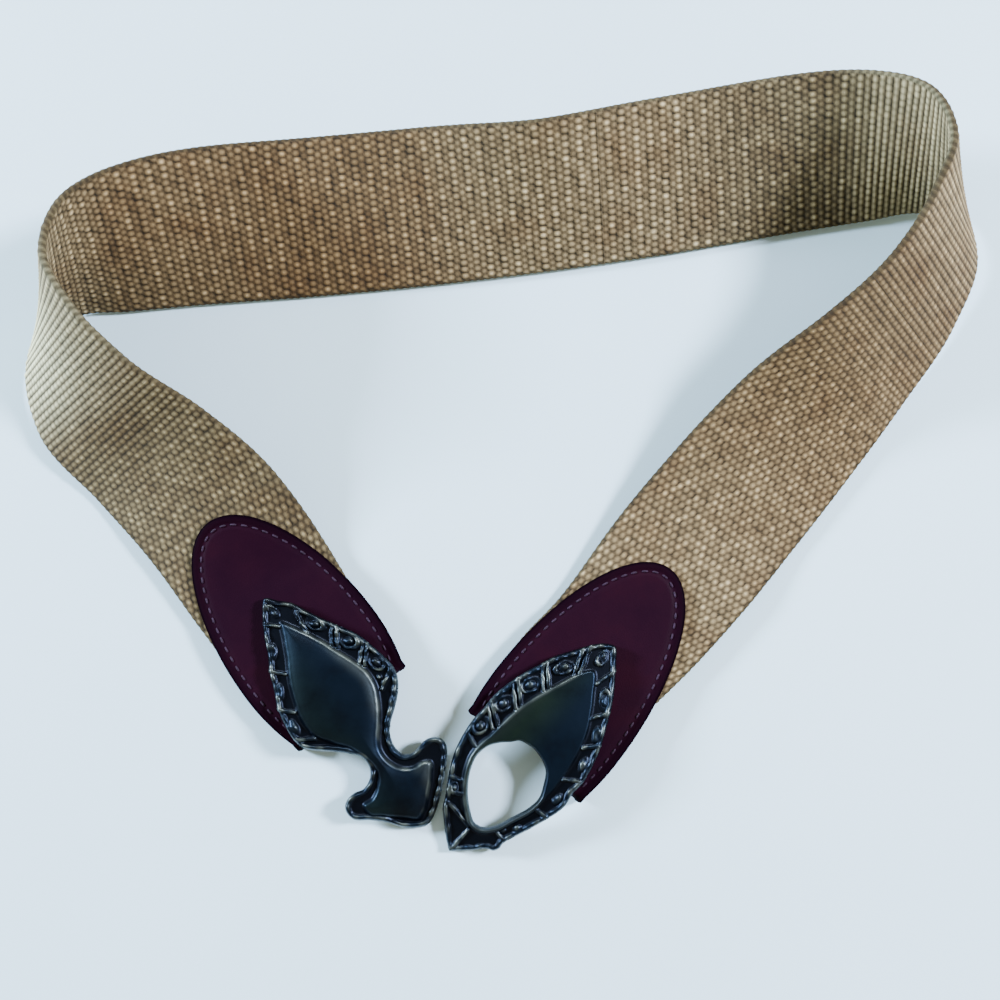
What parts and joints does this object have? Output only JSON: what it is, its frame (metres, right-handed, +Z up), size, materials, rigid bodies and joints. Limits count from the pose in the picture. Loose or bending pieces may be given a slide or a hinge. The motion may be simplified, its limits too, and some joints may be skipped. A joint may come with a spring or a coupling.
{
  "type": "wide woven waist belt",
  "caption": "Wide woven webbing waist belt with stitched leather tongues at both ends and a dark cast clasp: a leaf-shaped hook plate and a leaf-shaped plate with an eye.",
  "frame": {"origin": "middle of the belt's bounding box in X and Y, on the table the belt lies on, Z = 0", "axes": "+X along the belt's longest extent, from the hook end's side towards the eye end's side; +Y away from the clasp towards the back of the loop; +Z up"},
  "size_m": [0.3158, 0.2428, 0.049],
  "materials": {
    "webbing": "heavy tan basket weave, matt",
    "leather": "dark burgundy leather, soft sheen, stitched near its edge",
    "clasp_metal": "dark antique gunmetal casting, glossy on its rims"
  },
  "bodies": {
    "root": {"band": "webbing", "loop_tab": "leather", "hook_tab": "leather", "loop_plate": "clasp_metal", "hook_plate": "clasp_metal"}
  },
  "joints": []
}
